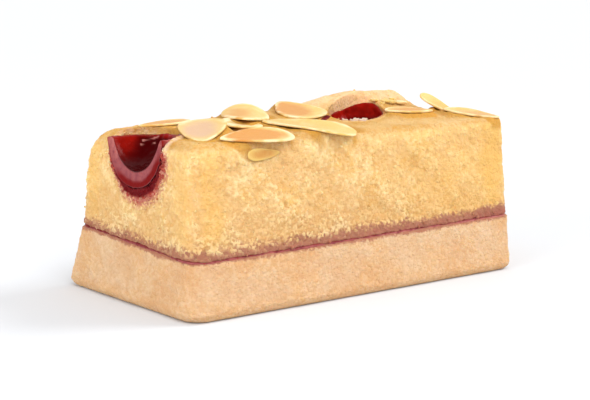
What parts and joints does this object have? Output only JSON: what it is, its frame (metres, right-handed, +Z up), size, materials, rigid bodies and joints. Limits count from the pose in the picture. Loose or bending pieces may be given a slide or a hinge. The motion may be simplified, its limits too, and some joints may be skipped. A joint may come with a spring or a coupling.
{
  "type": "raspberry almond traybake slice",
  "caption": "Rectangular slice of raspberry almond traybake: shortbread base, thin jam layer, almond sponge with pockets of raspberry jam, and flaked almonds on top.",
  "frame": {"origin": "centre of the underside", "axes": "+X along the slice, from the end cut through a pocket of jam to the plain end; -Y towards the long front side; +Z up"},
  "size_m": [0.0895, 0.0483, 0.0392],
  "materials": {
    "shortbread": "matt baked crumb",
    "sponge": "matt, fine open crumb",
    "jam": "wet gloss",
    "almond": "smooth, slightly waxy"
  },
  "bodies": {
    "root": {"shortbread_base": "shortbread", "jam_layer": "jam", "almond_sponge": "sponge", "jam_pool_end": "jam", "jam_pool_top": "jam", "almond_flake_01": "almond", "almond_flake_02": "almond", "almond_flake_03": "almond", "almond_flake_04": "almond", "almond_flake_05": "almond", "almond_flake_06": "almond", "almond_flake_07": "almond", "almond_flake_08": "almond", "almond_flake_09": "almond"}
  },
  "joints": []
}
